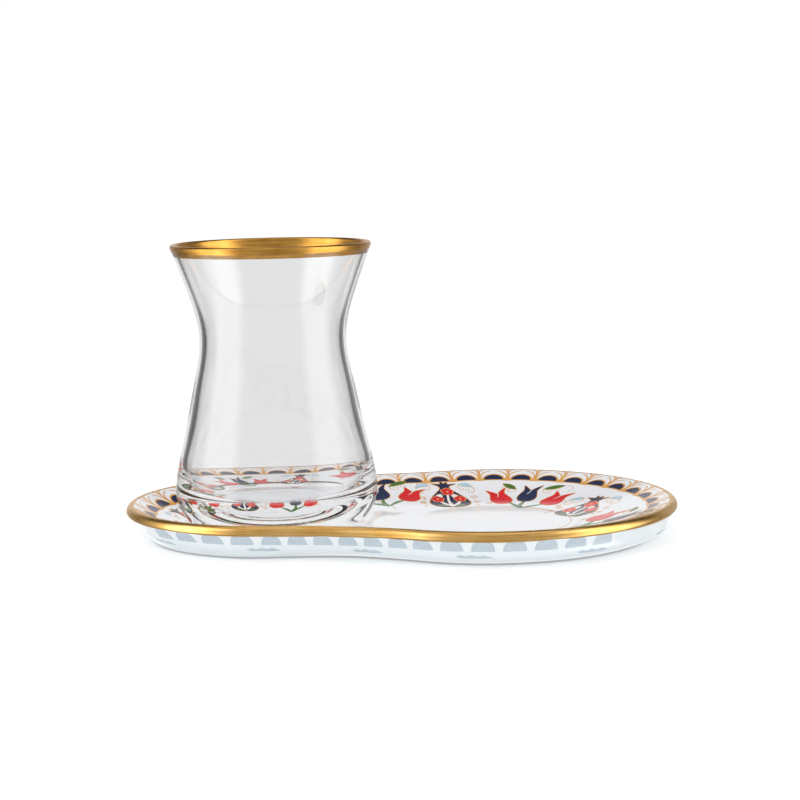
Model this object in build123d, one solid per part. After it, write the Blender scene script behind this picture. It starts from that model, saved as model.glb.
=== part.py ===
from build123d import *
import math
import os

# A waisted tea glass standing in the small well of a two-lobed glass saucer.
# Millimetres. The base of the saucer lies on Z = 0, and its long axis runs along X.

# --- Saucer: plan of the rim, two round lobes joined by two hollow waist curves ---
GLASS_LOBE_R = 49.5        # lobe that holds the glass
SNACK_LOBE_R = 60.0        # lobe for sugar and sweets
LOBE_SPACING = 70.9        # between the centres of the two lobes
RIM_WAIST_R = 130.0        # hollow curve that joins the lobes at the rim

# --- Saucer: rim ---
RIM_Z = 11.5               # top of the rim above the table
EDGE_HEIGHT = 3.0          # upright outer edge of the rim
EDGE_STEP = 0.4            # how far the edge stands out from the underside
LIP_WIDTH = 2.6            # flat top of the rim, before its corners are rounded
LIP_ROUND = 1.1            # rounding of the rim's corners

# --- Saucer: underside ---
FOOT_INSET = 10.0          # from the rim in to the edge of the flat foot
FOOT_WAIST_R = 55.0
SHOULDER_Z = 2.8           # where the underside turns from the foot up to the rim
SHOULDER_GLASS_INSET = 5.5
SHOULDER_SNACK_INSET = 3.5
SHOULDER_WAIST_R = 90.0

# --- Saucer: inside ---
FLOOR_Z = 4.0              # floor of both wells, which is the thickness of the base
BOWL_DEPTH = 2.5           # the wells are separate bowls up to this height above the floor
FOOT_CLEARANCE = 2.0       # between the glass's foot and the edge of its flat floor
GLASS_WELL_SIDE = 8.5      # width of the curved side round the glass's floor
SNACK_WELL_SIDE = 16.0     # width of the curved side round the snack floor
SNACK_WELL_INSET = 17.0    # from the rim in to the top of that curved side
WELL_WAIST_R = 24.0        # hollow curve between the tops of the wells

# --- Glass: outer radius at each station, with heights above its own foot ---
GLASS_HEIGHT = 92.0
FOOT_R = 27.0
HEEL_RISE = 0.35           # share of the belly's height where the heel has most of its swell
HEEL_SWELL = 0.64          # share of the swell from foot to belly that is reached there
BELLY_HEIGHT, BELLY_R = 11.0, 33.1
FLANK_HEIGHT, FLANK_R = 28.0, 30.1
BODY_R = 26.5              # midway up between the flank and the waist
WAIST_BELOW_MOUTH, WAIST_R = 30.0, 24.0
NECK_BELOW_MOUTH, NECK_R = 15.7, 27.3
MOUTH_R = 33.0
MOUTH_STEEPNESS = 2.8      # rise of the side for each millimetre of flare at the mouth

# --- Glass: inside ---
WALL_AT_MOUTH = 1.7
WALL_AT_BOWL = 2.6         # where the wall starts to round in to the bottom
BASE_THICKNESS = 4.7       # solid glass under the middle of the inside
BOWL_HEIGHT = 13.3         # height of the rounded bottom of the inside
BOWL_STEP = 0.7            # the bowl is this much narrower than the belly less its wall
BOWL_SQUARENESS = 2.8      # 2 makes the rounded bottom an ellipse, and more makes it squarer
BOWL_STATIONS = [0.95, 0.85, 0.7, 0.5]   # shares of the bowl's radius its curve is drawn through
GLASS_LIP_ROUND = 0.75     # fire-polished lip

SAME_LEVEL = 0.01          # edges this close in height count as level with each other

SAUCER_LENGTH = GLASS_LOBE_R + LOBE_SPACING + SNACK_LOBE_R
GLASS_X = GLASS_LOBE_R - SAUCER_LENGTH / 2
SNACK_X = GLASS_X + LOBE_SPACING
RIDGE_Z = FLOOR_Z + BOWL_DEPTH
BOWL_TOP = BASE_THICKNESS + BOWL_HEIGHT
BOWL_R = BELLY_R - WALL_AT_BOWL - BOWL_STEP
GLASS_WELL_R = FOOT_R + FOOT_CLEARANCE
GLASS_WELL_TOP_R = GLASS_WELL_R + GLASS_WELL_SIDE
SNACK_WELL_TOP_R = SNACK_LOBE_R - SNACK_WELL_INSET
SNACK_WELL_R = SNACK_WELL_TOP_R - SNACK_WELL_SIDE


def lobed_outline(glass_r, snack_r, waist_r, z):
    """A face at height z, bounded by two lobe arcs and the two hollow arcs tangent to both."""
    from_glass = glass_r + waist_r
    from_snack = snack_r + waist_r
    along = (from_glass**2 - from_snack**2 + LOBE_SPACING**2) / (2 * LOBE_SPACING)
    across = math.sqrt(from_glass**2 - along**2)
    glass_centre = Vector(GLASS_X, 0, z)
    snack_centre = Vector(SNACK_X, 0, z)
    waist_centre = Vector(GLASS_X + along, across, z)

    glass_end = glass_centre + (waist_centre - glass_centre).normalized() * glass_r
    snack_end = snack_centre + (waist_centre - snack_centre).normalized() * snack_r
    chord_middle = (glass_end + snack_end) / 2
    waist_middle = waist_centre + (chord_middle - waist_centre).normalized() * waist_r

    def mirrored(point):
        return Vector(point.X, -point.Y, point.Z)

    edges = [
        Edge.make_three_point_arc(mirrored(glass_end), Vector(GLASS_X - glass_r, 0, z), glass_end),
        Edge.make_three_point_arc(glass_end, waist_middle, snack_end),
        Edge.make_three_point_arc(snack_end, Vector(SNACK_X + snack_r, 0, z), mirrored(snack_end)),
        Edge.make_three_point_arc(mirrored(snack_end), mirrored(waist_middle), mirrored(glass_end)),
    ]
    return Face(Wire(edges))


def edges_at(solid, z):
    """The level edges of a solid at height z."""
    return solid.edges().filter_by_position(Axis.Z, z - SAME_LEVEL, z + SAME_LEVEL)


def rim_outline(inset, z):
    """The rim's outline at height z, drawn in by the same distance all round."""
    return lobed_outline(GLASS_LOBE_R - inset, SNACK_LOBE_R - inset, RIM_WAIST_R + inset, z)


def underside_outline(glass_inset, snack_inset, waist_r, z):
    return lobed_outline(GLASS_LOBE_R - glass_inset, SNACK_LOBE_R - snack_inset, waist_r, z)


def well(x, floor_r, top_r):
    """A round hollow whose side curves up from its flat floor to the ridge height."""
    depth = RIDGE_Z - FLOOR_Z
    run = top_r - floor_r
    curve_r = (run**2 + depth**2) / (2 * depth)   # tangent to the floor
    side_angle = math.asin(run / curve_r)
    half = side_angle / 2
    side_middle = (floor_r + curve_r * math.sin(half), FLOOR_Z + curve_r * (1 - math.cos(half)))
    profile = make_face([
        Line((0, FLOOR_Z), (floor_r, FLOOR_Z)),
        ThreePointArc((floor_r, FLOOR_Z), side_middle, (top_r, RIDGE_Z)),
        Line((top_r, RIDGE_Z), (0, RIDGE_Z)),
        Line((0, RIDGE_Z), (0, FLOOR_Z)),
    ])
    bowl = revolve(Plane.XZ * profile, axis=Axis.Z)
    return Pos(x, 0, 0) * bowl


def make_saucer():
    edge_z = RIM_Z - EDGE_HEIGHT
    body = loft([
        underside_outline(FOOT_INSET, FOOT_INSET, FOOT_WAIST_R, 0),
        underside_outline(SHOULDER_GLASS_INSET, SHOULDER_SNACK_INSET, SHOULDER_WAIST_R, SHOULDER_Z),
        rim_outline(EDGE_STEP, edge_z),
    ], ruled=True)
    rim = extrude(rim_outline(0, edge_z), EDGE_HEIGHT, dir=(0, 0, 1))
    basin = loft([
        lobed_outline(GLASS_WELL_TOP_R, SNACK_WELL_TOP_R, WELL_WAIST_R, RIDGE_Z),
        rim_outline(LIP_WIDTH, RIM_Z),
    ], ruled=True)

    saucer = body + rim - basin
    saucer -= well(GLASS_X, GLASS_WELL_R, GLASS_WELL_TOP_R)
    saucer -= well(SNACK_X, SNACK_WELL_R, SNACK_WELL_TOP_R)
    return fillet(edges_at(saucer, RIM_Z), LIP_ROUND)


def glass_wall(height):
    """Thickness of the side wall, which grows evenly from the mouth down to the bowl."""
    share = (GLASS_HEIGHT - height) / (GLASS_HEIGHT - BOWL_TOP)
    return WALL_AT_MOUTH + (WALL_AT_BOWL - WALL_AT_MOUTH) * share


def bowl_point(share):
    """A point of the rounded bottom of the inside, at a share of its radius from the axis."""
    drop = (1 - share**BOWL_SQUARENESS) ** (1 / BOWL_SQUARENESS)
    return (BOWL_R * share, BOWL_TOP - BOWL_HEIGHT * drop)


def make_glass():
    """One turned solid, drawn as half of its section in the XZ plane."""
    foot = (FOOT_R, 0)
    belly = (BELLY_R, BELLY_HEIGHT)
    heel = (FOOT_R + HEEL_SWELL * (BELLY_R - FOOT_R), HEEL_RISE * BELLY_HEIGHT)
    waist_height = GLASS_HEIGHT - WAIST_BELOW_MOUTH
    body = (BODY_R, (FLANK_HEIGHT + waist_height) / 2)
    neck = (NECK_R, GLASS_HEIGHT - NECK_BELOW_MOUTH)
    flank = [(FLANK_R, FLANK_HEIGHT), body, (WAIST_R, waist_height), neck]
    mouth = (MOUTH_R, GLASS_HEIGHT)
    underside = Spline([foot, heel, belly], tangents=[(heel[0] - FOOT_R, heel[1] / 2), (0, 1)])
    outside = Spline([belly, *flank, mouth], tangents=[(0, 1), (1, MOUTH_STEEPNESS)])

    inner_mouth = (MOUTH_R - WALL_AT_MOUTH, GLASS_HEIGHT)
    inner_flank = [(r - glass_wall(h), h) for r, h in reversed(flank)]
    bowl = [(BOWL_R, BOWL_TOP), *[bowl_point(share) for share in BOWL_STATIONS], (0, BASE_THICKNESS)]
    inside = Spline([inner_mouth, *inner_flank, *bowl],
                    tangents=[(-1, -MOUTH_STEEPNESS), (-1, 0)])

    section = make_face([
        Line((0, 0), foot),
        underside,
        outside,
        Line(mouth, inner_mouth),
        inside,
        Line((0, BASE_THICKNESS), (0, 0)),
    ])
    glass = revolve(Plane.XZ * section, axis=Axis.Z)

    glass = fillet(edges_at(glass, GLASS_HEIGHT), GLASS_LIP_ROUND)
    return Pos(GLASS_X, 0, FLOOR_Z) * glass


os.makedirs("parts", exist_ok=True)
for node, solid in {"saucer": make_saucer(), "tea_glass": make_glass()}.items():
    box = solid.bounding_box()
    print(f"{node}: {box.size.X:.2f} x {box.size.Y:.2f} x {box.size.Z:.2f} mm, {solid.volume / 1000:.1f} cm3")
    export_step(solid, f"parts/{node}.step")
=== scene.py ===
# %% [markdown]
# # A tea glass on its two-lobed saucer
# A waisted tea glass with a heavy base stands in one lobe of a glass saucer, and the other lobe is
# for sugar and sweets. The saucer is printed with tulips, pomegranates and a scalloped border, and
# both pieces have a gilt rim. This lesson loads the measured model, builds each piece again with
# the detail that it needs, and finishes it with its own material.

# %% Load the measured model
import math

import bmesh
import bpy
import numpy as np
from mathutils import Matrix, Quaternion, Vector
from mathutils.geometry import interpolate_bezier


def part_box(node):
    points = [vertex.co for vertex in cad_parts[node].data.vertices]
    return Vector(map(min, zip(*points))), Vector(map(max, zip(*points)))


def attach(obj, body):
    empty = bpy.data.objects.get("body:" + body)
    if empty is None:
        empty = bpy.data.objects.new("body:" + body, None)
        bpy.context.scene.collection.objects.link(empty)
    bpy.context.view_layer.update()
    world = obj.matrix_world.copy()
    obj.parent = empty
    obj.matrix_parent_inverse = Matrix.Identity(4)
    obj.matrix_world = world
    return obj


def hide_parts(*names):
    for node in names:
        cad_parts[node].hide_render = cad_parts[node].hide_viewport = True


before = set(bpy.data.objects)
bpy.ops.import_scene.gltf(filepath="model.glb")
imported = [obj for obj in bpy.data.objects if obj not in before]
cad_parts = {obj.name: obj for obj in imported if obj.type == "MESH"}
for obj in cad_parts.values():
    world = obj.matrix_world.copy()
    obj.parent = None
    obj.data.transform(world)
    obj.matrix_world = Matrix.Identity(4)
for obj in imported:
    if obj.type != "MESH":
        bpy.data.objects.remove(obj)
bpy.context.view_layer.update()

MM = 0.001

# %% [markdown]
# Sizes come first. The measured model says where everything is, so the positions are read from the
# boxes of its two solids and turned into millimetres. The other numbers are the arcs of the outline
# and the heights of the section, as a mould maker would list them.

# %% Read the main sizes
saucer_low, saucer_high = (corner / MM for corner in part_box("saucer"))
glass_low, glass_high = (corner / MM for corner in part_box("tea_glass"))

GLASS_X = (glass_low.x + glass_high.x) / 2
GLASS_LOBE_R = GLASS_X - saucer_low.x
SNACK_LOBE_R = saucer_high.y
SNACK_X = saucer_high.x - SNACK_LOBE_R
LOBE_SPACING = SNACK_X - GLASS_X
WAIST_R = 130.0

RIM_Z = saucer_high.z
FLOOR_Z = glass_low.z
EDGE_Z = RIM_Z - 3.0
LIP_WIDTH = 2.6
GLASS_WELL_R = 29.0
SNACK_WELL_R = 27.0
print("lobes", round(GLASS_LOBE_R, 2), round(SNACK_LOBE_R, 2), "spaced", round(LOBE_SPACING, 2))

# %% [markdown]
# ## The camera
# The camera looks slightly down from a hand's height, through a long lens, so the saucer is seen
# as a flat oval and its front edge hides the near wall. It is made first because it says which
# details matter most.

# %% Place the camera
def new_object(name, data):
    """A new object, linked into the scene."""
    made = bpy.data.objects.new(name, data)
    bpy.context.collection.objects.link(made)
    return made


camera = new_object("camera", bpy.data.cameras.new("camera"))
bpy.context.scene.camera = camera
camera.data.lens = 94.04
camera.location = Vector((58.35, -673.71, 130.85)) * MM
heading, pitch, roll = -0.0856, -0.1277, -0.02
sight = Vector((math.sin(heading) * math.cos(pitch), math.cos(heading) * math.cos(pitch), math.sin(pitch)))
camera.rotation_mode = "QUATERNION"
camera.rotation_quaternion = sight.to_track_quat("-Z", "Y") @ Quaternion((0, 0, 1), roll)
camera.data.clip_start, camera.data.clip_end = 0.01, 50
bpy.context.scene.view_settings.view_transform = "Standard"
print("camera is", round(camera.location.length, 2), "m away")

# %% [markdown]
# ## Shader arithmetic
# A material is a small calculation on each point of a surface. Joining Math nodes by hand hides
# that calculation, so this class wraps a node's output and lets Python's own signs add the nodes.
# Anything that isn't arithmetic goes through one method, node.

# %% Wrap a socket in a class
class Wire:
    """A node's output that takes Python arithmetic, so 1 - mask adds a Math node."""

    def __init__(self, tree, socket=None):
        self.tree = tree
        self.socket = socket

    def node(self, kind, settings=None, sockets=None, out=0):
        """Adds any node: its settings first, then the values or wires of its sockets."""
        made = self.tree.nodes.new(kind)
        for name, value in (settings or {}).items():
            setattr(made, name, value)
        self.plug(made, sockets or {})
        return Wire(self.tree, made.outputs[out])

    def plug(self, made, sockets):
        """Sets or links some sockets of a node that is already there."""
        for name, value in sockets.items():
            if isinstance(value, Wire):
                self.tree.links.new(value.socket, made.inputs[name])
            else:
                made.inputs[name].default_value = value

    def sibling(self, name):
        """Another output of the same node."""
        return Wire(self.tree, self.socket.node.outputs[name])

    def math(self, operation, *values):
        return self.node("ShaderNodeMath", {"operation": operation}, dict(enumerate(values)))

    def __add__(self, other): return self.math("ADD", self, other)
    def __radd__(self, other): return self.math("ADD", other, self)
    def __sub__(self, other): return self.math("SUBTRACT", self, other)
    def __rsub__(self, other): return self.math("SUBTRACT", other, self)
    def __mul__(self, other): return self.math("MULTIPLY", self, other)
    def __rmul__(self, other): return self.math("MULTIPLY", other, self)
    def __abs__(self): return self.math("ABSOLUTE", self)

    def step(self, low, high):
        """Rises smoothly from 0 at low to 1 at high."""
        return self.node("ShaderNodeMapRange", {"interpolation_type": "SMOOTHSTEP"},
                         {"Value": self, "From Min": low, "From Max": high})

    def mix(self, first, second):
        """This wire is the share of the second colour."""
        return self.node("ShaderNodeMix", {"data_type": "RGBA"}, {0: self, 6: first, 7: second}, out=2)


def rgb(code):
    """A colour as written, turned into the linear light that the shaders use."""
    parts = [int(code[i:i + 2], 16) / 255 for i in (0, 2, 4)]
    return (*[p / 12.92 if p <= 0.04045 else ((p + 0.055) / 1.055) ** 2.4 for p in parts], 1.0)


def start_material(name):
    """A new material, a wire to build on, and its main shader."""
    material = bpy.data.materials.new(name)
    material.use_nodes = True
    return material, Wire(material.node_tree), material.node_tree.nodes["Principled BSDF"]


print("white as written is", rgb("ffffff")[:3])

# %% [markdown]
# ## Light and room
# Clear glass and gold show mostly what is around them, so a studio matters more than a lamp. The
# world is even and white for matt surfaces. Mirrored rays see a dim room with a white sheet behind
# the object, a tall soft box at the left and at the right, and dark flags in between: the boxes
# give the glass its long pale bands. Rays bent by the glass see plain white and two dark cards
# just out of view behind it: the sides of the glass bend sight round to the cards, and so they get
# dark edges. Light is mirrored many times inside the heavy base before it leaves, so more
# mirrorings than usual are followed, or the base turns black.

# %% Build the studio world
world = bpy.data.worlds.new("studio")
bpy.context.scene.world = world
world.use_nodes = True
world.cycles.sampling_method = "NONE"
bpy.context.scene.cycles.glossy_bounces = 12
sky = Wire(world.node_tree)
direction = sky.node("ShaderNodeSeparateXYZ", None, {0: sky.node("ShaderNodeTexCoord", out="Generated")})
# In degrees: turn is 0 straight behind the object and grows to the right, and lean grows upwards.
turn = sky.math("ARCTAN2", direction, direction.sibling("Y")) * (180 / math.pi)
lean = sky.math("ARCSINE", direction.sibling("Z")) * (180 / math.pi)


def band(value, low, high, soft):
    """1 between low and high, fading over a soft edge."""
    return value.step(low - soft, low + soft) * (1 - value.step(high - soft, high + soft))


PAPER, ROOM, BEHIND_GLASS, CARD_DEPTH = 0.92, 0.56, 0.95, 0.86
sheet = band(turn, -28, 12, 5) * lean.step(-50, -20) * (1 - lean.step(20, 27))
boxes = (2.4 * band(turn, -138, -92, 9) + 2.3 * band(turn, 80, 122, 9)) * band(lean, -46, 55, 7)
flags = 0.30 * band(abs(turn), 44, 70, 4) * (1 - lean.step(40, 60))
dark_ceiling = 0.40 * band(turn, -75, 75, 8) * band(lean, 26, 62, 4)
top_light = 0.5 * lean.step(66, 78)
studio = ROOM + (PAPER - ROOM) * sheet + boxes - flags - dark_ceiling + top_light
cards = (band(turn, 16, 48, 2) + band(turn, -64, -32, 2)) * band(lean, -18, 12, 3)

camera_ray = sky.node("ShaderNodeLightPath", out="Is Camera Ray")
bent = camera_ray.sibling("Is Transmission Ray")
shiny = sky.math("MAXIMUM", camera_ray.sibling("Is Glossy Ray"), bent)
level = (1 - shiny) * PAPER + (shiny - bent) * studio + bent * (BEHIND_GLASS - CARD_DEPTH * cards)
sky.plug(world.node_tree.nodes["Background"],
         {"Color": (1, 1, 1, 1), "Strength": sky.math("MAXIMUM", camera_ray, level)})
print("world has", len(world.node_tree.nodes), "nodes")

# %% [markdown]
# The floor is a plain pale sheet. Lit evenly, a matt sheet comes out a little darker than the
# world, so it also glows faintly for all rays but those of matt surfaces. That adds no light to
# the object, and the shadow under the saucer stays. Mirrored and bent rays pass through the floor,
# so the studio's boxes run on below the table's level, and their pale bands reach up to the flared
# mouth, which mirrors what is below it.

# %% Lay the floor
floor_bm = bmesh.new()
bmesh.ops.create_grid(floor_bm, x_segments=1, y_segments=1, size=12)
bmesh.ops.translate(floor_bm, verts=floor_bm.verts[:], vec=(0, 0, -0.2 * MM))
floor = new_object("floor", bpy.data.meshes.new("floor"))
floor_bm.to_mesh(floor.data)
floor_bm.free()
floor.visible_transmission = False
floor.visible_glossy = False

FLOOR_GLOW = 0.30
floor_material, w, shader = start_material("pale_floor")
look = w.node("ShaderNodeLightPath", out="Is Camera Ray")
turned_ray = w.math("MAXIMUM", look.sibling("Is Glossy Ray"), look.sibling("Is Transmission Ray"))
seen = w.math("MAXIMUM", look, turned_ray)
w.plug(shader, {"Base Color": (0.80, 0.80, 0.80, 1), "Roughness": 1.0, "Specular IOR Level": 0.0,
                "Emission Color": (1, 1, 1, 1), "Emission Strength": seen * FLOOR_GLOW})
floor.data.materials.append(floor_material)

key = new_object("key", bpy.data.lights.new("key", "AREA"))
key.data.shape, key.data.size, key.data.size_y = "RECTANGLE", 1.2, 1.2
key.location = (-0.5, -0.5, 1.5)
key.rotation_mode = "QUATERNION"
key.rotation_quaternion = (-key.location).to_track_quat("-Z", "Y")
key.data.energy = 4.0
key.visible_glossy = False
key.visible_transmission = False
print("floor and key light are in place")

# %% [markdown]
# ## The outline of the saucer
# The rim is made of four arcs: one round each lobe and two wide hollow ones that join them. A ring
# drawn in from the rim by the same distance has the same arcs with other radii, so one function
# gives any point of the saucer from how far round it is and how far in it is. The distance round
# is measured on the base line of the printed border, so that the border's scallops come out even.

# %% Find any point of the outline
BORDER_INSET = 9.5
SCALLOPS = 45
COLUMNS = SCALLOPS * 12

from_glass = GLASS_LOBE_R + WAIST_R
from_snack = SNACK_LOBE_R + WAIST_R
along = (from_glass**2 - from_snack**2 + LOBE_SPACING**2) / (2 * LOBE_SPACING)
WAIST_CENTRE = Vector((GLASS_X + along, math.sqrt(from_glass**2 - along**2)))
GLASS_CENTRE, SNACK_CENTRE = Vector((GLASS_X, 0)), Vector((SNACK_X, 0))
glass_turn = math.atan2(WAIST_CENTRE.y, WAIST_CENTRE.x - GLASS_X)
snack_turn = math.atan2(WAIST_CENTRE.y, WAIST_CENTRE.x - SNACK_X)
waist_sweep = snack_turn - glass_turn
LOWER_WAIST = Vector((WAIST_CENTRE.x, -WAIST_CENTRE.y))
# Each arc: centre, radius at the rim, 1 if it bulges or -1 if it is hollow, first angle, sweep.
ARCS = [
    (SNACK_CENTRE, SNACK_LOBE_R, 1, 0, snack_turn),
    (WAIST_CENTRE, WAIST_R, -1, snack_turn + math.pi, -waist_sweep),
    (GLASS_CENTRE, GLASS_LOBE_R, 1, glass_turn, 2 * math.pi - 2 * glass_turn),
    (LOWER_WAIST, WAIST_R, -1, math.pi - glass_turn, -waist_sweep),
    (SNACK_CENTRE, SNACK_LOBE_R, 1, -snack_turn, snack_turn),
]
BORDER_LENGTH = sum((r - side * BORDER_INSET) * abs(sweep) for _, r, side, _, sweep in ARCS)
PITCH = BORDER_LENGTH / SCALLOPS


def outline_point(share, inset):
    """The point this share of the way round, drawn in from the rim by the inset."""
    distance = share % 1 * BORDER_LENGTH
    for centre, radius, side, start, sweep in ARCS:
        length = (radius - side * BORDER_INSET) * abs(sweep)
        if distance <= length or (centre, start) == (SNACK_CENTRE, -snack_turn):
            angle = start + sweep * min(distance / length, 1)
            return centre + Vector((math.cos(angle), math.sin(angle))) * (radius - side * inset)
        distance -= length


def inset_at(x, y):
    """How far a point of the plan lies inside the rim."""
    spoke = Vector((x, abs(y))) - WAIST_CENTRE
    angle = math.atan2(spoke.y, spoke.x)
    if glass_turn - math.pi <= angle <= snack_turn - math.pi:
        return spoke.length - WAIST_R
    if angle < glass_turn - math.pi or x < GLASS_X:
        return GLASS_LOBE_R - math.hypot(x - GLASS_X, y)
    return SNACK_LOBE_R - math.hypot(x - SNACK_X, y)


print("border is", round(BORDER_LENGTH, 1), "mm round, one scallop every", round(PITCH, 2), "mm")

# %% [markdown]
# The inside of the saucer is two flat round floors whose sides sweep up to one common rim. Its
# height depends on two distances only: how far a point is outside the nearest floor, and how far
# it is inside the rim. The same function later lays the print on the surface, so the print can't
# float or sink.

# %% Give the height of the inside
SIDE_POWER = 1.6          # above 1, the side leaves the floor gently and is steepest at the lip
LIP_BLEND = 0.5           # how softly the side runs out into the lip, in square millimetres
SADDLE_WIDTH, SADDLE_RUN = 12, 6   # of the ridge between the two floors, which is 1 mm high


def dish_height(x, y):
    """Height of the saucer's upper surface."""
    from_glass_well = math.hypot(x - GLASS_X, y) - GLASS_WELL_R
    from_snack_well = math.hypot(x - SNACK_X, y) - SNACK_WELL_R
    from_floor = max(min(from_glass_well, from_snack_well), 0)
    inside_lip = inset_at(x, y) - LIP_WIDTH
    from_lip = (inside_lip + math.sqrt(inside_lip**2 + LIP_BLEND)) / 2
    rise = from_floor / (from_floor + from_lip)
    saddle = min(from_floor / SADDLE_RUN, 1)
    saddle = saddle * saddle * (3 - 2 * saddle) * math.exp(-(y / SADDLE_WIDTH)**2) * (1 - rise)**2
    return FLOOR_Z + (RIM_Z - FLOOR_Z) * rise**SIDE_POWER + saddle


print("floor", round(dish_height(SNACK_X, 0), 2), "rim", round(dish_height(SNACK_X, SNACK_LOBE_R - 2), 2))

# %% [markdown]
# ## From rings to a skin
# The saucer's skin could be lofted or sculpted. Extruding one ring of edges again and again is
# plainer: each new ring is moved to its own place, and the faces between two rings come by
# themselves. Every vertex remembers how far round it is, in a layer that the extrusion copies.

# %% Carry a ring of edges through stations
def carry_ring(stations, count):
    """A skin through rings; each station turns a share of the way round into a point."""
    bm = bmesh.new()
    share = bm.verts.layers.float.new("share")
    ring = bmesh.ops.create_circle(bm, segments=count, radius=1)["verts"]
    for index, vert in enumerate(ring):
        vert[share] = index / count
        vert.co = stations[0](vert[share])
    edges = bm.edges[:]
    for station in stations[1:]:
        made = bmesh.ops.extrude_edge_only(bm, edges=edges)["geom"]
        edges = [item for item in made if isinstance(item, bmesh.types.BMEdge)]
        for vert in made:
            if isinstance(vert, bmesh.types.BMVert):
                vert.co = station(vert[share])
    return bm


def make_piece(bm, name, materials, sharp=40):
    """Turns millimetres to metres and hangs the finished piece on the root body's empty."""
    bmesh.ops.recalc_face_normals(bm, faces=bm.faces[:])
    bmesh.ops.scale(bm, verts=bm.verts[:], vec=(MM, MM, MM))
    piece = new_object(name, bpy.data.meshes.new(name))
    bm.to_mesh(piece.data)
    bm.free()
    piece.data.polygons.foreach_set("use_smooth", [True] * len(piece.data.polygons))
    piece.data.set_sharp_from_angle(angle=math.radians(sharp))
    for material in materials:
        piece.data.materials.append(material)
    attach(piece, "root")
    triangles = sum(len(face.vertices) - 2 for face in piece.data.polygons)
    print(name, "has", triangles, "triangles")
    return piece


def smooth_line(knots, corners=(), closed=False, steps=4):
    """Points along a smooth line through a few knots, with a sharp turn at the corners."""
    knots = [Vector((*knot, 0)) for knot in knots]
    count = len(knots)

    def heading_at(i, straight):
        if i in corners or not closed and i in (0, count - 1):
            return straight
        after, before = knots[(i + 1) % count] - knots[i], knots[i] - knots[i - 1]
        return (after.normalized() + before.normalized()).normalized()

    points = []
    for i in range(count if closed else count - 1):
        start, end = knots[i], knots[(i + 1) % count]
        straight, reach = (end - start).normalized(), (end - start).length / 3
        leave = start + heading_at(i, straight) * reach
        arrive = end - heading_at((i + 1) % count, straight) * reach
        points += interpolate_bezier(start, leave, arrive, end, steps + 1)[:-1]
    return points if closed else points + [knots[-1]]


print("helpers are ready")

# %% [markdown]
# ## The saucer's body
# On the real piece the print lies on a white ground, and the underside shows the glass's own pale
# blue. The body is one closed skin: out over the inside, round the rounded edge, down the steep
# side and in under the flat foot. Each centre is closed along the saucer's long axis, where the
# two halves of the last ring meet. Where the foot turns under, the bare glass is seen edge-on and
# looks grey against the table, so that band gets a grey of its own: painted shade.

# %% Write down the sections
INNERMOST = 46.0
# Insets from the rim, and heights.
EDGE_KNOTS = [(1.1, EDGE_Z - 0.2), (0.5, EDGE_Z + 0.02), (0.12, EDGE_Z + 0.45), (0.0, EDGE_Z + 1.0),
              (0.12, EDGE_Z + 1.6), (0.45, EDGE_Z + 2.2), (0.95, EDGE_Z + 2.68), (1.55, RIM_Z - 0.08),
              (2.1, RIM_Z - 0.01)]
WAIST_X, WAIST_SPREAD = -14, 17


def edge_line(steps=3):
    """The rounded outer edge as insets and heights, from the bottom up."""
    return [(p.x, p.y) for p in smooth_line(EDGE_KNOTS, steps=steps)]


def underside_line(x):
    """The side and foot below the edge, which differ a little along the saucer."""
    reach = min(max((x - GLASS_X) / LOBE_SPACING, 0), 1)
    hollow = math.exp(-((x - WAIST_X) / WAIST_SPREAD)**2)
    shoulder = 5.4 - 1.9 * reach + 0.9 * hollow
    foot = 10 + 2.8 * hollow
    knots = [EDGE_KNOTS[0], (0.6 + 0.5 * shoulder, 5.6), (shoulder - 0.2, 3.05), (shoulder + 0.9, 2.15),
             (foot - 2.0, 0.62), (foot + 0.2, 0.05), (foot + 1.6, 0.0)]
    return [(p.x, p.y) for p in smooth_line(knots, steps=4)]


UNDERSIDE_ROWS = len(underside_line(0))
RING_STEP = 1.1
top_insets = [2.35, 2.6, 2.85, 3.1, 3.6, 4.2, 4.9, 5.7, 6.6, 7.5, 8.5]
while top_insets[-1] + RING_STEP < INNERMOST:
    top_insets.append(top_insets[-1] + RING_STEP)
top_insets.append(INNERMOST)
print(len(top_insets), "rings inside,", UNDERSIDE_ROWS, "underneath")

# %% Make the body
def top_station(inset, flat=False):
    def station(share):
        point = outline_point(share, inset)
        if flat:
            point.y = 0
        return Vector((*point, dish_height(point.x, point.y)))
    return station


def edge_station(inset, z):
    return lambda share: Vector((*outline_point(share, inset), z))


def underside_station(row, extra=0):
    def station(share):
        inset, z = underside_line(outline_point(share, 0).x)[row]
        return Vector((*outline_point(share, inset + extra), z))
    return station


stations = [top_station(INNERMOST, flat=True)] + [top_station(inset) for inset in reversed(top_insets)]
stations += [edge_station(inset, z) for inset, z in reversed(edge_line())]
stations += [underside_station(row) for row in range(1, UNDERSIDE_ROWS)]
stations += [underside_station(UNDERSIDE_ROWS - 1, extra) for extra in (6, 12, 20, 28)]
stations += [edge_station(INNERMOST, 0.0), lambda share: Vector((outline_point(share, INNERMOST).x, 0, 0))]
body_bm = carry_ring(stations, COLUMNS)
bmesh.ops.remove_doubles(body_bm, verts=body_bm.verts[:], dist=0.0005)
bmesh.ops.recalc_face_normals(body_bm, faces=body_bm.faces[:])
# The lowest faces, along the foot's edge, get a grey glaze: painted shade where the glass meets the table.
GROUND, UNDERSIDE, FOOT_SHADE = range(3)
FOOT_SHADE_Z = 0.42
for face in body_bm.faces:
    if face.calc_center_median().z < FOOT_SHADE_Z:
        face.material_index = FOOT_SHADE
    else:
        face.material_index = UNDERSIDE if face.normal.z < 0.1 else GROUND
open_edges = [edge for edge in body_bm.edges if len(edge.link_faces) != 2]
print("open edges in the saucer:", len(open_edges))

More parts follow.
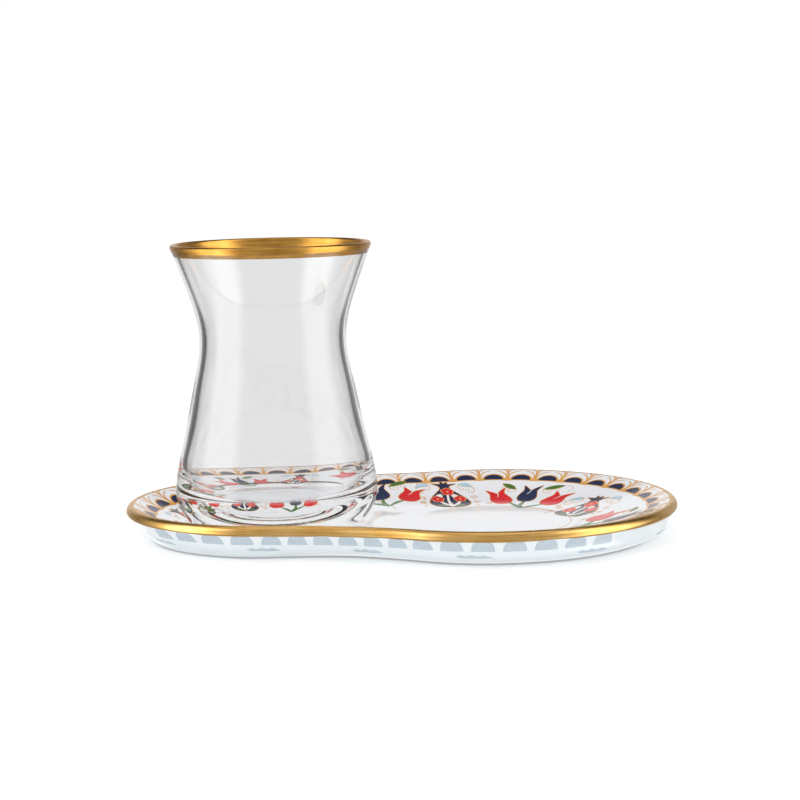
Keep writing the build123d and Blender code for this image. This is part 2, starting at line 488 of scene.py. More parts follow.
# %% [markdown]
# ## White ground and pale underside
# The ground is a glossy white glaze with a breath of blue where it lies thick. The underside is
# the same white seen through bare glass, so it is a paler blue, and it glows a little: that stands
# for the light that comes through the glass from above. Both are glossy, because both are under
# fire-polished glass, and the noise stays faint, as on a clean plate.

# %% Mix the white ground and the underside
def glaze(name, base, tint, roughness, coarse=90.0, share=0.5, glow=0.0):
    """A glossy enamel: a base colour through which a second one drifts, up to its share."""
    material, w, shader = start_material(name)
    place = w.node("ShaderNodeTexCoord", out="Object")
    cloud = w.node("ShaderNodeTexNoise", None, {"Vector": place, "Scale": coarse, "Detail": 3.0})
    grain = w.node("ShaderNodeTexNoise", None, {"Vector": place, "Scale": coarse * 12, "Detail": 2.0})
    colour = (cloud.step(0.3, 0.7) * share).mix(rgb(base), rgb(tint))
    waves = w.node("ShaderNodeBump", None, {"Strength": 0.05, "Distance": 0.0002, "Height": cloud})
    # A glow above 0 is painted light: the colour shines by itself, for light that comes through the glass.
    w.plug(shader, {"Base Color": colour, "Roughness": roughness + 0.04 * grain, "IOR": 1.5, "Normal": waves,
                    "Emission Color": colour, "Emission Strength": glow})
    return material


ground_material = glaze("white_ground", "eeeff2", "e6eaef", 0.05)
underside_material = glaze("pale_underside", "e8eff3", "e1eaef", 0.10, glow=0.26)
# A grey glaze for the foot's edge: painted shade, for the dark band where the glass meets the table.
foot_shade_material = glaze("foot_edge_painted_shade", "8f9ba3", "9ba7ae", 0.10)
saucer_materials = [ground_material, underside_material, foot_shade_material]
saucer = make_piece(body_bm, "saucer_body", saucer_materials)
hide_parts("saucer")

# %% [markdown]
# ## Gilding
# Bright gold is brushed on as a liquid and fired, which leaves a skin thinner than paint that
# follows the glass under it. It could be a material on part of the body, but then its edge would
# be as coarse as the body's faces. A skin of its own gives a crisp edge that wanders a little, as
# a brushed line does, and fine streaks along the rim from the brush.

# %% Mix the gold
def gold(name, streak_scale, deep, bright):
    """Brushed bright gold; the streaks are stretched along the rim."""
    material, w, shader = start_material(name)
    place = w.node("ShaderNodeTexCoord", out="Object")
    stretched = w.node("ShaderNodeMapping", None, {"Vector": place, "Scale": streak_scale})
    streaks = w.node("ShaderNodeTexNoise", None, {"Vector": stretched, "Scale": 1.0, "Detail": 3.0})
    patches = w.node("ShaderNodeTexNoise", None, {"Vector": place, "Scale": 160.0, "Detail": 2.0})
    shade = streaks.step(0.25, 0.75) * 0.6 + patches.step(0.3, 0.7) * 0.4
    colour = shade.mix(rgb(deep), rgb(bright))
    brushed = w.node("ShaderNodeBump", None, {"Strength": 0.25, "Distance": 0.00005, "Height": streaks})
    w.plug(shader, {"Base Color": colour, "Metallic": 1.0, "Roughness": 0.20 + 0.16 * streaks, "Normal": brushed})
    return material


gold_material = gold("brushed_gold", (70.0, 70.0, 2600.0), "d49f4f", "efc47d")

# %% Lay the gilt edge on the saucer
GILT, GILT_ROOT = 0.03, 0.08   # how far the skin stands out, and how far its back is sunk
BRUSH_STRAY = 0.10


def brushed_wander(share):
    """How far the brush strays from the line at this place, in millimetres."""
    turns = share * 2 * math.pi
    return BRUSH_STRAY * (0.5 * math.sin(7 * turns + 1) + 0.3 * math.sin(19 * turns) + 0.2 * math.sin(43 * turns + 2))


def band_outline(line, lift):
    """The line moved sideways by the lift, away from the surface."""
    moved = []
    for i, (inset, z) in enumerate(line):
        before, after = line[max(i - 1, 0)], line[min(i + 1, len(line) - 1)]
        run = Vector((after[0] - before[0], after[1] - before[1])).normalized()
        moved.append((inset - run.y * lift, z + run.x * lift))
    return moved


gilt_line = edge_line(4) + [(inset, dish_height(SNACK_X, SNACK_LOBE_R - inset)) for inset in (2.35, 2.5)]
gilt_ring = band_outline(gilt_line, GILT) + band_outline(gilt_line, -GILT_ROOT)[::-1]


def gilt_station(inset, z):
    """Only the band's two borders stray, the lower one up and down and the upper one in and out."""
    low = max(0, 1 - (z - gilt_line[0][1]) / 0.5)
    high = max(0, inset - 1.9)

    def station(share):
        stray = brushed_wander(share)
        return Vector((*outline_point(share, inset + high * stray * 2), z + low * stray))
    return station


gilt_bm = carry_ring([gilt_station(inset, z) for inset, z in gilt_ring + gilt_ring[:1]], COLUMNS)
bmesh.ops.remove_doubles(gilt_bm, verts=gilt_bm.verts[:], dist=0.0005)
saucer_gilding = make_piece(gilt_bm, "saucer_gilt_edge", [gold_material])
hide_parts("saucer")

# %% [markdown]
# ## Drawing the print
# The print is a transfer: flat fields of enamel, one colour after another, each with a hair of
# thickness. It could be painted by a material, but every line here is thinner than half a
# millimetre and would blur when the model is exported. So each field is a thin closed piece of
# mesh. A motif is drawn once on a flat sheet, cut into small facets so that it can bend, given its
# thickness, and then stamped round the saucer.

# %% Make a sheet to draw on
GROUND_LIFT = 0.02    # of the lowest field above the saucer
LAYER = 0.015         # from one layer of enamel to the next
SUNK = -0.05          # the back of every field, just inside the saucer
GOLD, NAVY, RED, GREEN, BLUE, CREAM, CORAL = COLOURS = "gold", "navy", "red", "green", "blue", "cream", "coral"


def flat(pairs):
    """Points of the drawing sheet."""
    return [Vector((x, y, 0)) for x, y in pairs]


def oval(x, y, wide, tall, count):
    angles = np.linspace(0, 2 * math.pi, count + 1)[:-1]
    return flat([(x + wide * math.cos(a), y + tall * math.sin(a)) for a in angles])


def add_field(sheet, corners, layer):
    """Adds one flat face with these corners."""
    made = bmesh.ops.create_circle(sheet, cap_ends=True, segments=len(corners), radius=1)["verts"]
    for vert, corner in zip(made, corners):
        vert.co = (corner.x, corner.y, GROUND_LIFT + layer * LAYER)


def add_ribbon(sheet, line, widths, layer):
    """Adds a row of faces along a line; the widths are spread over its length."""
    left, right = [], []
    for i, point in enumerate(line):
        run = (line[min(i + 1, len(line) - 1)] - line[max(i - 1, 0)]).normalized()
        half = np.interp(i / (len(line) - 1), np.linspace(0, 1, len(widths)), widths) / 2
        across = Vector((-run.y, run.x, 0)) * half
        left.append(point + across)
        right.append(point - across)
    for i in range(len(line) - 1):
        add_field(sheet, (left[i], right[i], right[i + 1], left[i + 1]), layer)


def thicken(sheet):
    """Gives the flat faces of a sheet a back."""
    for item in bmesh.ops.extrude_face_region(sheet, geom=sheet.faces[:])["geom"]:
        if isinstance(item, bmesh.types.BMVert):
            item.co.z = SUNK


def as_mesh(sheet):
    mesh = bpy.data.meshes.new("sketch")
    sheet.to_mesh(mesh)
    sheet.free()
    return mesh


def grown(outline, by):
    """The closed outline moved outwards by the same distance all round."""
    area = sum(a.x * b.y - a.y * b.x for a, b in zip(outline, outline[1:] + outline[:1]))
    side = 1 if area > 0 else -1
    moved = []
    for i, point in enumerate(outline):
        run = (outline[(i + 1) % len(outline)] - outline[i - 1]).normalized()
        moved.append(point + Vector((run.y, -run.x, 0)) * by * side)
    return moved


class Sketch:
    """Flat fields of enamel, sorted by colour and drawn in millimetres."""

    def __init__(self, facet=1.6):
        self.sheets = {}
        self.facet = facet

    def fill(self, colour, outline, layer):
        """Fills a closed outline; a higher layer lies on a lower one."""
        add_field(self.sheets.setdefault(colour, bmesh.new()), outline, layer)

    def fill_edged(self, colour, outline, edge):
        """Fills a closed outline on a gold field that is this much larger all round."""
        self.fill(GOLD, grown(outline, edge), 1)
        self.fill(colour, outline, 3)

    def stroke(self, colour, knots, widths, layer, steps=4):
        """A brush stroke along a smooth line through the knots."""
        sheet = self.sheets.setdefault(colour, bmesh.new())
        add_ribbon(sheet, smooth_line(knots, steps=steps), widths, layer)

    def cut(self):
        """Joins the fields, cuts them into facets and gives them thickness."""
        meshes = {}
        for colour, sheet in self.sheets.items():
            bmesh.ops.remove_doubles(sheet, verts=sheet.verts[:], dist=0.004)
            bmesh.ops.triangulate(sheet, faces=[f for f in sheet.faces if len(f.verts) > 4])
            for axis in (0, 1):
                places = [vert.co[axis] for vert in sheet.verts]
                normal = Vector((0, 0, 0))
                normal[axis] = 1
                first, last = math.ceil(min(places) / self.facet), math.floor(max(places) / self.facet)
                for k in range(first, last + 1):
                    bmesh.ops.bisect_plane(sheet, geom=sheet.verts[:] + sheet.edges[:] + sheet.faces[:],
                                           dist=0.001, plane_co=normal * k * self.facet, plane_no=normal)
            thicken(sheet)
            meshes[colour] = as_mesh(sheet)
        return meshes


print("the drawing sheet is ready")

# %% [markdown]
# The border is a row of navy half-discs under gold arches. Between two arches stands a gold stem
# with a hooked leaf on each side, which reaches up to the gilt edge. It is drawn once, one scallop
# wide, and every scallop then follows the rim's curve.

# %% Draw one scallop
def arc(width, height, base=0.0, steps=14):
    """Half an oval that stands on its base line."""
    angles = [math.pi * i / steps for i in range(steps + 1)]
    return flat([(-width * math.cos(a), base + height * math.sin(a)) for a in angles])


scallop = Sketch(1.3)
half = PITCH / 2
scallop.fill(GOLD, arc(4.02, 4.1), 0)
scallop.fill(NAVY, arc(3.28, 3.2, 0.28), 2)
scallop.fill(GOLD, flat([(-half, -0.62), (-half * 0.5, -0.28), (0, -0.2), (half * 0.5, -0.28), (half, -0.62),
                         (half, 0.3), (-half, 0.3)]), 0)
# Knots of each half, as distances in from the stem's middle, and heights.
STEM = [(0, -0.5), (1.2, -0.3), (0.75, 1.3), (0.42, 3.0), (0, 4.1)]
ARCH = [(0.25, 2.0), (1.0, 4.2), (2.4, 5.5), (half - 0.9, 6.05)]
HOOK = [(0.1, 4.2), (0.5, 5.9), (1.5, 6.9), (2.3, 6.95)]
for side in (-1, 1):
    stem, arch, hook = ([(side * (half - x), y) for x, y in knots] for knots in (STEM, ARCH, HOOK))
    scallop.fill(GOLD, smooth_line(stem, corners=(0, 1, 4), closed=True), 1)
    scallop.stroke(GOLD, arch, [0.5, 0.5, 0.42, 0.2], 1)
    scallop.stroke(GOLD, hook, [0.4, 0.42, 0.34, 0.1], 1)
scallop.stroke(GOLD, [(half, 3.0), (half, 5.5), (half + 0.05, 8.3)], [0.62, 0.5, 0.16], 2)
scallop_meshes = scallop.cut()
print("one scallop is", round(PITCH, 2), "mm wide")

# %% [markdown]
# ## Tulips
# Three tulips make one motif: a navy one upright between two red ones that lean away, on green
# stems from one foot, with a green leaf above each gap. One tulip shape serves for all three,
# turned and stretched, because a transfer's draughtsman works the same way.

# %% Draw the tulips
def turned(knots, foot, degrees, wide=1.0, tall=1.0):
    """Knots stretched, turned clockwise and moved to their foot."""
    a = math.radians(degrees)
    return [(foot[0] + x * wide * math.cos(a) + y * tall * math.sin(a),
             foot[1] - x * wide * math.sin(a) + y * tall * math.cos(a)) for x, y in knots]


TULIP = [(0, 0), (2.1, 0.8), (3.25, 3.6), (2.85, 7.4), (2.35, 10.2), (3.7, 14.3), (1.3, 11.9), (0.2, 10.0),
         (-0.9, 11.6), (-2.9, 14.0), (-2.3, 10.2), (-2.95, 7.2), (-3.2, 3.6), (-2.0, 0.8)]
LEAF = [(0, 0), (1.7, 1.15), (4.3, 1.3), (6.6, 0), (4.4, -1.0), (1.8, -0.85)]


def draw_tulip(sketch, colour, foot, lean, wide=1.0, tall=1.0):
    outline = smooth_line(turned(TULIP, foot, lean, wide, tall), corners=(5, 7, 9), closed=True)
    sketch.fill_edged(colour, outline, 0.26)
    cleft = turned([(0.2, 10.0), (-0.1, 8.4), (-0.7, 6.9)], foot, lean, wide, tall)
    sketch.stroke(CREAM, cleft, [0.34, 0.26, 0.1], 5)


def leaf_outline(foot, lean, wide=1.0, tall=1.0):
    return smooth_line(turned(LEAF, foot, lean, wide, tall), corners=(0, 3), closed=True)


trio = Sketch()
trio.stroke(GREEN, [(1.0, 0.0), (-0.2, 4.2), (0.1, 9.4)], [1.5, 1.5, 0.9], 2)
trio.stroke(GREEN, [(0.9, 0.3), (-1.6, 4.0), (-4.9, 7.4)], [1.1, 1.7, 0.5], 2.4)
trio.stroke(GREEN, [(1.1, 0.3), (3.6, 3.4), (7.6, 6.6)], [1.1, 1.5, 0.5], 2.8)
draw_tulip(trio, RED, (-5.8, 5.6), -30, 1.08, 1.0)
draw_tulip(trio, RED, (8.2, 5.2), 21, 1.14, 0.90)
draw_tulip(trio, NAVY, (0.0, 8.9), 0, 1.0, 0.97)
trio.fill_edged(GREEN, leaf_outline((-11.0, 22.8), 32), 0.18)
trio.fill_edged(GREEN, leaf_outline((4.2, 19.8), -18, 1.2), 0.18)
print("tulips drawn")

# %% [markdown]
# ## Pomegranates
# The second motif is a navy pomegranate with a spiked crown. It holds three red five-petalled
# flowers on white stems. Each red petal has a coral edge, so the flower stays clear on the navy.

# %% Draw the pomegranate
def draw_flower(sketch, centre, size=1.0, tall=1.3):
    """Five petals round a middle, a little taller than wide."""
    x, y = centre
    out, petal_r = 1.22 * size, 0.92 * size
    for k in range(5):
        a = math.radians(90 + 72 * k)
        petal = oval(x + out * math.cos(a), y + out * tall * math.sin(a), petal_r, petal_r * tall, 12)
        sketch.fill(CORAL, grown(petal, 0.34), 5 + k % 3 * 0.2)
        sketch.fill(RED, petal, 7 + k % 3 * 0.2)
    sketch.fill(CORAL, oval(x, y, 0.5, 0.5 * tall, 10), 9)


pomegranate = Sketch()
FRUIT = [(0, 0.1), (4.2, 0.9), (6.8, 4.2), (6.3, 8.8), (4.0, 13.8), (1.7, 18.0), (1.9, 19.6),
         (4.4, 21.3), (1.5, 20.9), (1.3, 22.7), (0.3, 21.3), (-0.8, 23.0), (-1.2, 21.0), (-4.3, 21.5),
         (-1.9, 19.6), (-1.6, 18.0), (-3.8, 13.8), (-6.2, 8.8), (-6.8, 4.2), (-4.2, 0.9)]
fruit = smooth_line(FRUIT, corners=(7, 8, 9, 10, 11, 12, 13), closed=True)
pomegranate.fill_edged(NAVY, fruit, 0.34)
pomegranate.stroke(CREAM, [(0.2, 1.0), (-0.3, 6.5), (0.2, 12.6)], [1.5, 0.9, 0.8], 4)
pomegranate.stroke(CREAM, [(0.0, 1.6), (-2.0, 4.0), (-4.0, 8.0)], [0.8, 1.3, 0.6], 4)
pomegranate.stroke(CREAM, [(0.4, 1.6), (2.4, 4.0), (3.9, 8.2)], [0.8, 1.3, 0.6], 4)
for side in (-1, 1):
    pomegranate.fill(CREAM, leaf_outline((side * 3.3, 9.6), -90 - side * 16, 0.62, 0.95), 4)
    pomegranate.fill(GREEN, leaf_outline((side * 1.2, 1.3), -90 + side * 62, 0.62, 0.8), 5)
draw_flower(pomegranate, (0.5, 15.2))
draw_flower(pomegranate, (-3.9, 8.6), 0.98)
draw_flower(pomegranate, (3.9, 8.9), 0.94)
print("pomegranate drawn")

# %% [markdown]
# ## Sprigs between the motifs
# Thin gold lines fill the gaps: curling stems, a comma of pale blue on each side of a fruit's
# crown, short ticks, and small ovals with a curl inside. They are only a quarter of a millimetre
# wide, and from a hand's distance they read as a warm grey lace.

# %% Draw the sprigs
HAIR = 0.24


def hair(sketch, knots, steps=4, side=1):
    """A thin gold line; side -1 mirrors it."""
    sketch.stroke(GOLD, [(side * x, y) for x, y in knots], [HAIR], 1, steps)


def curl(x, y, size, start=0.0):
    """Knots of a small spiral of 1.6 turns."""
    knots = []
    for t in np.linspace(0, 1, 9):
        reach, angle = size * (1 - 0.75 * t), start + t * 1.6 * 2 * math.pi
        knots.append((x + reach * math.cos(angle), y + 1.25 * reach * math.sin(angle)))
    return knots


COMMA = [(5.4, 21.0), (7.2, 21.9), (9.3, 20.6), (9.9, 18.4), (8.6, 18.9), (7.4, 19.4), (6.2, 19.5)]
for side in (-1, 1):
    comma = smooth_line([(side * x, y) for x, y in COMMA], corners=(0, 3), closed=True)
    pomegranate.fill_edged(BLUE, comma, 0.16)
    hair(pomegranate, [(9.9, 18.4), (10.2, 16.0), (8.8, 14.2), (7.8, 15.2)], 4, side)
    hair(pomegranate, [(5.4, 21.0), (4.9, 18.4), (5.9, 16.6)], 4, side)
    for k in range(3):
        hair(pomegranate, [(6.6 + 0.9 * k, 17.9 - 0.3 * k), (6.3 + 0.9 * k, 16.3 - 0.3 * k)], 2, side)
    hair(pomegranate, curl(9.0, 10.2, 1.35), 3, side)
    hair(pomegranate, curl(9.4, 5.6, 1.25, start=2.0), 3, side)
    hair(pomegranate, [(8.2, 3.2), (9.3, 1.6), (8.4, 0.6)], 4, side)
hair(trio, [(-4.9, 19.2), (-5.9, 17.4), (-8.0, 17.6), (-7.6, 19.0)])
hair(trio, [(12.2, 22.0), (14.4, 20.9), (14.6, 18.6), (13.2, 17.6)])
hair(trio, [(4.2, 19.8), (5.2, 17.2), (7.6, 17.0)])
for k in range(4):
    hair(trio, [(6.2 + 1.3 * k, 19.2 + 0.35 * k), (5.9 + 1.3 * k, 17.9 + 0.3 * k)], 2)
for k in range(3):
    hair(trio, [(-10.2 + 1.2 * k, 20.9 - 0.7 * k), (-10.5 + 1.2 * k, 19.6 - 0.7 * k)], 2)
hair(trio, curl(13.6, 3.6, 1.2, start=1.0), 3)
hair(trio, curl(-11.0, 5.0, 1.2, start=1.0), 3)
hair(trio, [(14.2, 9.2), (15.4, 7.4), (14.2, 6.4)])
trio_meshes, pomegranate_meshes = trio.cut(), pomegranate.cut()
print("sprigs drawn")

# %% [markdown]
# ## Stamping the print
# A scallop is wrapped on the rim: its width runs along the border's base line and its height runs
# out towards the edge. A motif keeps its shape, and is only turned so that it points outwards. In
# the end every point takes its height from the dish, plus the lift of its own layer.

# %% Stamp the border and the motifs
paint = {colour: bmesh.new() for colour in COLOURS}


def add_moved(sheets, meshes, move):
    """Adds a sketch to the sheets of its colours, with every point moved."""
    for colour, mesh in meshes.items():
        sheet = sheets[colour]
        first = len(sheet.verts)
        sheet.from_mesh(mesh)
        sheet.verts.ensure_lookup_table()
        for vert in sheet.verts[first:]:
            vert.co = move(vert.co)


def stamp(meshes, where):
    """Adds a sketch to the print; where turns a point of the sheet into a point of the plan."""
    def move(point):
        x, y = where(point.x, point.y)
        return (x, y, dish_height(x, y) + point.z)
    add_moved(paint, meshes, move)


for k in range(SCALLOPS):
    stamp(scallop_meshes, lambda u, w, k=k: outline_point((k + 0.5 + u / PITCH) / SCALLOPS, BORDER_INSET - w))


def standing(foot_x, foot_y, degrees, size=1.0):
    """A place for a motif: where its foot is, and which way it points."""
    a = math.radians(degrees)
    out, right = Vector((math.cos(a), math.sin(a))), Vector((math.sin(a), -math.cos(a)))
    foot = Vector((foot_x, foot_y))
    return lambda u, w: foot + (right * u + out * w) * size


# The motifs take turns. First the snack lobe's: where the foot is from the lobe's middle, along
# and across, and which way the motif points.
MOTIFS = (pomegranate_meshes, trio_meshes)
snack_places = [(-14.3, 24.4, 103), (7.4, 23.0, 77), (24.2, 7.2, 60),
                (27.0, -13.5, 12), (15.5, -23.0, -58), (-7.0, -24.0, -98)]
for k, (along_x, across_y, degrees) in enumerate(snack_places):
    stamp(MOTIFS[k % 2], standing(SNACK_X + along_x, across_y, degrees))

# Round the glass, smaller motifs stand on a circle and point outwards.
GLASS_SIZE, FOOT_RADII = 0.75, (21.4, 19.8)
for k, degrees in enumerate((84, 126, 168, 209.5, 251, 293)):
    a, foot_r = math.radians(degrees), FOOT_RADII[k % 2]
    stamp(MOTIFS[k % 2], standing(GLASS_X + foot_r * math.cos(a), foot_r * math.sin(a), degrees, GLASS_SIZE))

# One motif stands at each side of the waist.
stamp(trio_meshes, standing(-6.2, 20.6, 106, 0.97))
stamp(pomegranate_meshes, standing(-8.0, -22.5, -104, 0.86))
print({colour: len(sheet.faces) for colour, sheet in paint.items()})

# %% [markdown]
# A thin gold line closes the print towards the plain floor of the snack lobe. It follows the floor
# round and turns along the glass's lobe at the waist, where the print makes room for the glass.

# %% Rule the inner line
def rule(centre_x, radius, start, end, count):
    """A thin gold line along an arc of the plan."""
    angles = np.linspace(math.radians(start), math.radians(end), count)
    sheet = bmesh.new()
    add_ribbon(sheet, flat([(centre_x + radius * math.cos(a), radius * math.sin(a)) for a in angles]), [0.3], 1)
    bmesh.ops.remove_doubles(sheet, verts=sheet.verts[:], dist=0.001)
    thicken(sheet)
    stamp({GOLD: as_mesh(sheet)}, lambda x, y: (x, y))


rule(SNACK_X, 25.6, -128, 128, 130)
for side in (1, -1):
    rule(GLASS_X, 41.5, side * 24, side * 52, 24)
print("inner line ruled")

# %% [markdown]
# ## Enamel colours
# Fired enamel is glassy, so all colours share one recipe: two near colours under a smooth gloss.

# %% Finish the print
ENAMELS = {GOLD: ("e0a75a", "d1913f"), NAVY: ("1f2a50", "161d3c"), RED: ("e31d26", "c9151f"),
           GREEN: ("4f7a2c", "3c6424"), BLUE: ("b5d3e2", "a4c6da"), CREAM: ("f6f2ea", "efe8da"),
           CORAL: ("f0a46c", "ee9256")}
for colour, sheet in paint.items():
    enamel = glaze("print_" + colour + "_enamel", *ENAMELS[colour], 0.06, coarse=500.0, share=0.6)
    piece = make_piece(sheet, "print_" + colour, [enamel], sharp=50)
    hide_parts("saucer")

# %% [markdown]
# ## The print seen from below
# From outside, the border shows through the pale glass as blue-grey half-discs with lighter stems
# between them, which stop short of the two ends. The fields are drawn flat, distance round by drop
# below the gilt edge, and then wrapped on the steep side.

# %% Wrap the pale border on the side
def underside_point(u, drop):
    """The point of the side at a distance round and a drop below the edge, and the way out."""
    share = u / BORDER_LENGTH
    line = underside_line(outline_point(share, 0).x)
    z = EDGE_Z - drop
    i = next(i for i in range(len(line) - 1) if line[i + 1][1] <= z or i == len(line) - 2)
    (inset_a, z_a), (inset_b, z_b) = line[i], line[i + 1]
    t = (z_a - z) / (z_a - z_b)
    inset = inset_a + (inset_b - inset_a) * t
    point = outline_point(share, inset)
    out = outline_point(share, 0) - outline_point(share, 1)
    normal = Vector((out.x * (z_a - z_b), out.y * (z_a - z_b), inset_a - inset_b)).normalized()
    return Vector((*point, z)), normal


SHADOW, HAZE = "shadow", "haze"
GHOSTS = 51
ghost_pitch = BORDER_LENGTH / GHOSTS
ghost_half = ghost_pitch / 2
ghost = Sketch(1.0)
ghost.fill(SHADOW, flat([(-3.2, 3.3), (-3.1, 2.1), (-2.75, 1.0), (-2.1, 0), (2.1, 0), (2.75, 1.0),
                         (3.1, 2.1), (3.2, 3.3)]), 1)
for side in (-1, 1):
    edge = ghost_half * side
    ghost.stroke(HAZE, [(edge, 3.4), (edge, 2.2), (edge - side * 0.8, 0.3)], [0.4, 0.8, 1.0], 1)
motif_ghost = Sketch(1.0)
motif_ghost.fill(SHADOW, flat([(-5.2, 5.0), (-3.6, 4.45), (-2.2, 4.8), (-0.8, 4.3), (0.9, 4.75), (2.6, 4.4),
                               (4.2, 4.9), (5.4, 5.3), (2.0, 5.6), (-1.5, 5.45), (-3.5, 5.6)]), 1)
ghost_meshes, motif_ghost_meshes = ghost.cut(), motif_ghost.cut()
below = {SHADOW: bmesh.new(), HAZE: bmesh.new()}


def stamp_below(meshes, start):
    """Wraps a sketch on the side, from this distance round."""
    def move(sheet_point):
        point, normal = underside_point(start + sheet_point.x, max(sheet_point.y, 0.2))
        return point + normal * sheet_point.z
    add_moved(below, meshes, move)


FIRST_GHOST_X, LAST_GHOST_X = GLASS_X - 37, SNACK_X + 40
for k in range(GHOSTS):
    if FIRST_GHOST_X < outline_point((k + 0.5) / GHOSTS, 0).x < LAST_GHOST_X:
        stamp_below(ghost_meshes, (k + 0.5) * ghost_pitch)
for k in range(0, GHOSTS, 4):
    stamp_below(motif_ghost_meshes, (k + 1.2) * ghost_pitch)
# Both glow a little: painted light, for the light that comes through the glass from above.
below_enamels = {
    SHADOW: glaze("pale_shadow_enamel", "c2d0da", "ccd8e1", 0.10, coarse=400.0, share=0.7, glow=0.17),
    HAZE: glaze("pale_haze_enamel", "eff4f7", "eaf0f4", 0.10, coarse=400.0, glow=0.22),
}
for colour, enamel in below_enamels.items():
    piece = make_piece(below[colour], "side_print_" + colour, [enamel], sharp=50)
    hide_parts("saucer")

# %% [markdown]
# ## The tea glass
# Light bends at every surface of a glass, so its section has to run without a sudden change of
# curvature. A cubic spline through a few stations gives that. The inside ends in a rounded bowl
# over thick glass, which bends the print under it into small pictures. The section is then spun
# about the glass's axis. The foot is flat and stands on the saucer with a film of air between,
# because two glass surfaces in one place would confuse the light. The print is thicker than the
# film, so under the foot it reaches up to 0.12 mm into the glass.

# %% Draw the glass's section
def spline(stations, start, end, steps):
    """Points on a cubic spline of smooth curvature that leaves and arrives in given directions."""
    points = [np.array(p, float) for p in stations]
    spans = [np.linalg.norm(b - a) for a, b in zip(points, points[1:])]
    count = len(points)
    table, right = np.eye(count), np.zeros((count, 2))
    right[0], right[-1] = np.array(start) / np.linalg.norm(start), np.array(end) / np.linalg.norm(end)
    for i in range(1, count - 1):
        before, after = spans[i - 1], spans[i]
        table[i, i - 1:i + 2] = after, 2 * (before + after), before
        right[i] = 3 * (after * (points[i] - points[i - 1]) / before + before * (points[i + 1] - points[i]) / after)
    slopes = np.linalg.solve(table, right)
    line = []
    for i, span in enumerate(spans):
        for t in np.linspace(0, 1, steps + 1)[:-1 if i < count - 2 else None]:
            line.append(tuple((1 + 2 * t) * (1 - t)**2 * points[i] + t * (1 - t)**2 * span * slopes[i]
                              + t * t * (3 - 2 * t) * points[i + 1] + t * t * (t - 1) * span * slopes[i + 1]))
    return line


GLASS_H = glass_high.z - glass_low.z
BELLY_R = (glass_high.x - glass_low.x) / 2
FOOT_R, MOUTH_R, WALL_TOP, WALL_BASE = 27.0, 33.0, 1.7, 2.6
BASE_H, BOWL_TOP, SQUARENESS = 4.7, 18.0, 2.8
BOWL_R = BELLY_R - WALL_BASE - 0.7
MOUTH_STEEPNESS = 2.8
heel, belly = (FOOT_R + 0.64 * (BELLY_R - FOOT_R), 3.85), (BELLY_R, 11.0)
flank = [(30.1, 28.0), (26.5, 45.0), (24.0, 62.0), (27.3, 76.3)]


def wall(height):
    """Thickness of the side wall, which grows from the mouth down to the bowl."""
    return WALL_TOP + (WALL_BASE - WALL_TOP) * (GLASS_H - height) / (GLASS_H - BOWL_TOP)


def bowl_point(share):
    """A point of the rounded bottom of the inside, at a share of its radius from the axis."""
    drop = (1 - share**SQUARENESS) ** (1 / SQUARENESS)
    return (BOWL_R * share, BOWL_TOP - (BOWL_TOP - BASE_H) * drop)


outside = spline([(FOOT_R, 0.0), heel, belly], (heel[0] - FOOT_R, heel[1] / 2), (0, 1), 8)
outside += spline([belly, *flank, (MOUTH_R, GLASS_H)], (0, 1), (1, MOUTH_STEEPNESS), 14)[1:]
inside_stations = [(MOUTH_R - WALL_TOP, GLASS_H)] + [(r - wall(h), h) for r, h in reversed(flank)]
inside_stations += [(BOWL_R, BOWL_TOP)] + [bowl_point(share) for share in (0.95, 0.85, 0.7, 0.5)] + [(0, BASE_H)]
inside = spline(inside_stations, (-1, -MOUTH_STEEPNESS), (-1, 0), 14)

# The lip is a low half-oval in place of the top of both lines.
LIP_H = 0.8
shoulder_z = GLASS_H - LIP_H
outside = [p for p in outside if p[1] < shoulder_z]
inside = [p for p in inside if p[1] < shoulder_z]
lip_middle = (outside[-1][0] + inside[0][0]) / 2
lip_half = (outside[-1][0] - inside[0][0]) / 2 * 1.02
lip = [(lip_middle + lip_half * math.cos(a), shoulder_z + LIP_H * math.sin(a))
       for a in np.linspace(0.12, math.pi - 0.12, 11)]
foot = [(r, 0.0) for r in (0, 9.0, 18.0, 24.0, 26.4)]
section = foot + outside + lip + inside
print("the section has", len(section), "points")

# %% Spin the glass
AIR_FILM = 0.01


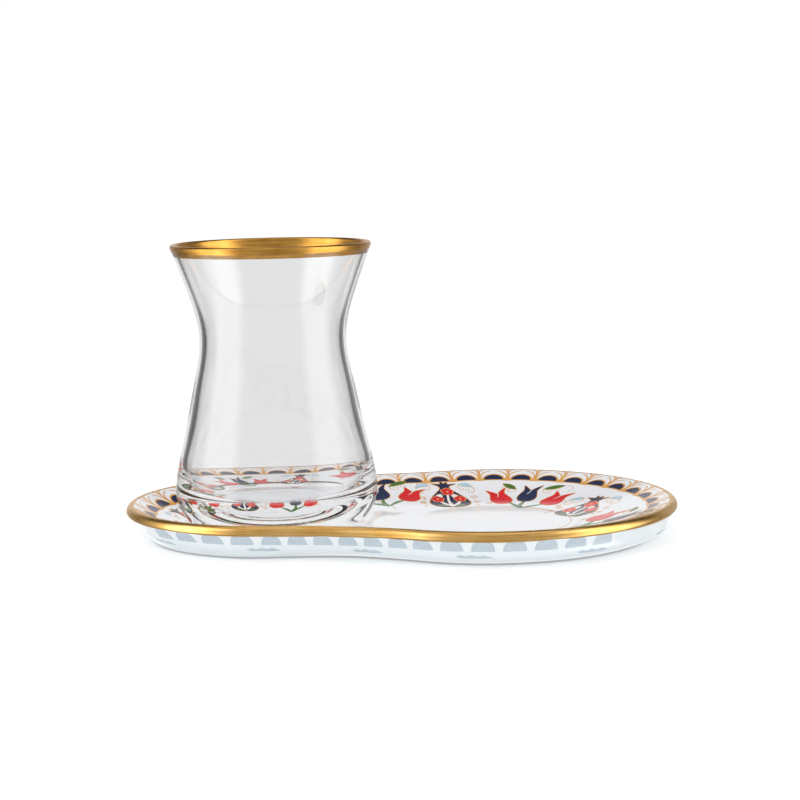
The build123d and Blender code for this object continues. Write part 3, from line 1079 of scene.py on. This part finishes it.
def spin_section(points, closed, steps=192):
    """Spins points of a section, radius and height, about the glass's axis."""
    bm = bmesh.new()
    verts = [bm.verts.new((GLASS_X + r, 0, FLOOR_Z + AIR_FILM + h)) for r, h in points]
    edges = [bm.edges.new(pair) for pair in zip(verts, verts[1:] + verts[:1] if closed else verts[1:])]
    bmesh.ops.spin(bm, geom=verts + edges, axis=(0, 0, 1), cent=(GLASS_X, 0, 0), dvec=(0, 0, 0),
                   angle=2 * math.pi, steps=steps, use_merge=True)
    bmesh.ops.remove_doubles(bm, verts=bm.verts[:], dist=0.0005)
    return bm


glass_bm = spin_section(section, closed=False)
print("open edges in the glass:", len([e for e in glass_bm.edges if len(e.link_faces) != 2]))

# %% [markdown]
# Clear glass needs no picture: its colour comes from what it bends and mirrors. It is given the
# real index of soda-lime glass, a trace of grey in the body, and a surface that waves a little, as
# fire polishing leaves it. A path tracer can't follow a lamp's light through bent glass, so clear
# glass would throw a shadow as dark as a stone's. It is hidden from shadow rays and from the rays
# of matt surfaces, and the saucer under it is lit as in the open.

# %% Finish the glass
glass_material, w, shader = start_material("clear_tea_glass")
place = w.node("ShaderNodeTexCoord", out="Object")
upright = w.node("ShaderNodeMapping", None, {"Vector": place, "Scale": (60.0, 60.0, 14.0)})
ripple = w.node("ShaderNodeTexNoise", None, {"Vector": upright, "Scale": 1.0, "Detail": 1.0})
waved = w.node("ShaderNodeBump", None, {"Strength": 0.05, "Distance": 0.0006, "Height": ripple})
w.plug(shader, {"Base Color": (0.905, 0.908, 0.912, 1), "Roughness": 0.0, "IOR": 1.5,
                "Transmission Weight": 1.0, "Normal": waved})
tea_glass = make_piece(glass_bm, "tea_glass_body", [glass_material])
tea_glass.visible_shadow = False
tea_glass.visible_diffuse = False
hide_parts("tea_glass")

# %% [markdown]
# The lip is gilded like the saucer's edge: a band about three millimetres deep outside and inside,
# over the rounded lip. It is a closed skin, so that it also shows through the glass from the other
# side. Its gold is a little browner than the saucer's.

# %% Gild the lip
LIP_GILT, LIP_GILT_ROOT = 0.035, 0.05
lip_line = [p for p in outside if p[1] > GLASS_H - 3.3] + lip + [p for p in inside if p[1] > GLASS_H - 3.4]
lip_ring = band_outline(lip_line, -LIP_GILT) + band_outline(lip_line, LIP_GILT_ROOT)[::-1]
lip_bm = spin_section(lip_ring, closed=True)
lip_gold = gold("brushed_lip_gold", (60.0, 60.0, 2200.0), "a8742f", "d9a450")
lip_gilding = make_piece(lip_bm, "tea_glass_gilt_lip", [lip_gold])
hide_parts("tea_glass")
